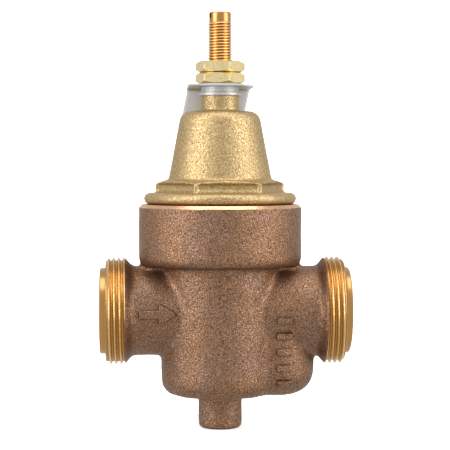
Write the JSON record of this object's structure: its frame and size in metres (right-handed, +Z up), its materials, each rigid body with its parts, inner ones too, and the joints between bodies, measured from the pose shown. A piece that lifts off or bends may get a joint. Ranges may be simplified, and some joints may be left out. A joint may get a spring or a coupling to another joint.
{
  "type": "pressure reducing valve",
  "caption": "Direct-acting water pressure reducing valve: bronze body with male union threads, brass bell housing with adjusting screw, spring, diaphragm, balanced stem and strainer.",
  "frame": {"origin": "centre of the inlet face, on the port axis", "axes": "+X along the flow from inlet to outlet, +Z up along the stem and screw, -Y the side with the flow arrow"},
  "size_m": [0.111, 0.0724, 0.1851],
  "materials": {
    "cast_bronze": "sand-cast, brown, fine grain",
    "cast_brass": "cast and shot-blasted, light gold",
    "machined_brass": "turned, bright",
    "nut_brass": "turned, pale",
    "collar_metal": "satin, silver-grey",
    "tag_metal": "matt mill finish",
    "seal_plastic": "natural",
    "stainless": "turned stainless",
    "plated_steel": "zinc plated",
    "spring_steel": "shot-peened, oiled",
    "rubber": "moulded, black"
  },
  "bodies": {
    "valve": {"valve_body": "cast_bronze", "module_cage": "machined_brass", "seat_ring": "stainless", "upper_cage_o_ring": "rubber", "lower_cage_o_ring": "rubber", "strainer_screen": "stainless", "lower_strainer_ring": "stainless", "upper_strainer_ring": "stainless", "friction_ring": "plated_steel", "diaphragm": "rubber", "range_spring": "spring_steel", "bell_housing": "cast_brass", "neck_collar": "collar_metal", "name_tag": "tag_metal"},
    "regulator": {"stem": "machined_brass", "piston_o_ring": "rubber", "seat_disc": "rubber", "disc_holder": "machined_brass", "disc_nut": "stainless", "diaphragm_washer": "stainless", "diaphragm_plate": "plated_steel", "diaphragm_nut": "plated_steel"},
    "button": {"spring_button": "plated_steel"},
    "screw": {"adjusting_screw": "machined_brass"},
    "nut_carrier": {"nut_seal_washer": "seal_plastic"},
    "lock_nuts": {"lower_lock_nut": "nut_brass", "upper_lock_nut": "nut_brass"}
  },
  "joints": [
    {"name": "valve_stroke", "type": "slide", "parent": "valve", "child": "regulator", "axis": [0, 0, 1], "range_m": [0, 0.0025], "stiffness_N_per_m": 30000, "springref_m": -0.001, "deforming": ["diaphragm"]},
    {"name": "screw_lift", "type": "slide", "parent": "valve", "child": "button", "axis": [0, 0, 1], "range_m": [-0.01016, 0], "deforming": ["range_spring"]},
    {"name": "screw_turn", "type": "hinge", "parent": "button", "child": "screw", "pos_m": [0.0535, 0, 0.1], "axis": [0, 0, 1], "range_deg": [-2880.3, 0]},
    {"name": "nut_lift", "type": "slide", "parent": "valve", "child": "nut_carrier", "axis": [0, 0, 1], "range_m": [0, 0.00381]},
    {"name": "nut_turn", "type": "hinge", "parent": "nut_carrier", "child": "lock_nuts", "pos_m": [0.0535, 0, 0.105], "axis": [0, 0, 1], "range_deg": [0, 1080.2]}
  ],
  "couplings": [
    {"joint": "screw_turn", "follows": "screw_lift", "rad_per_m": 4947.4},
    {"joint": "nut_turn", "follows": "nut_lift", "rad_per_m": 4947.4}
  ]
}
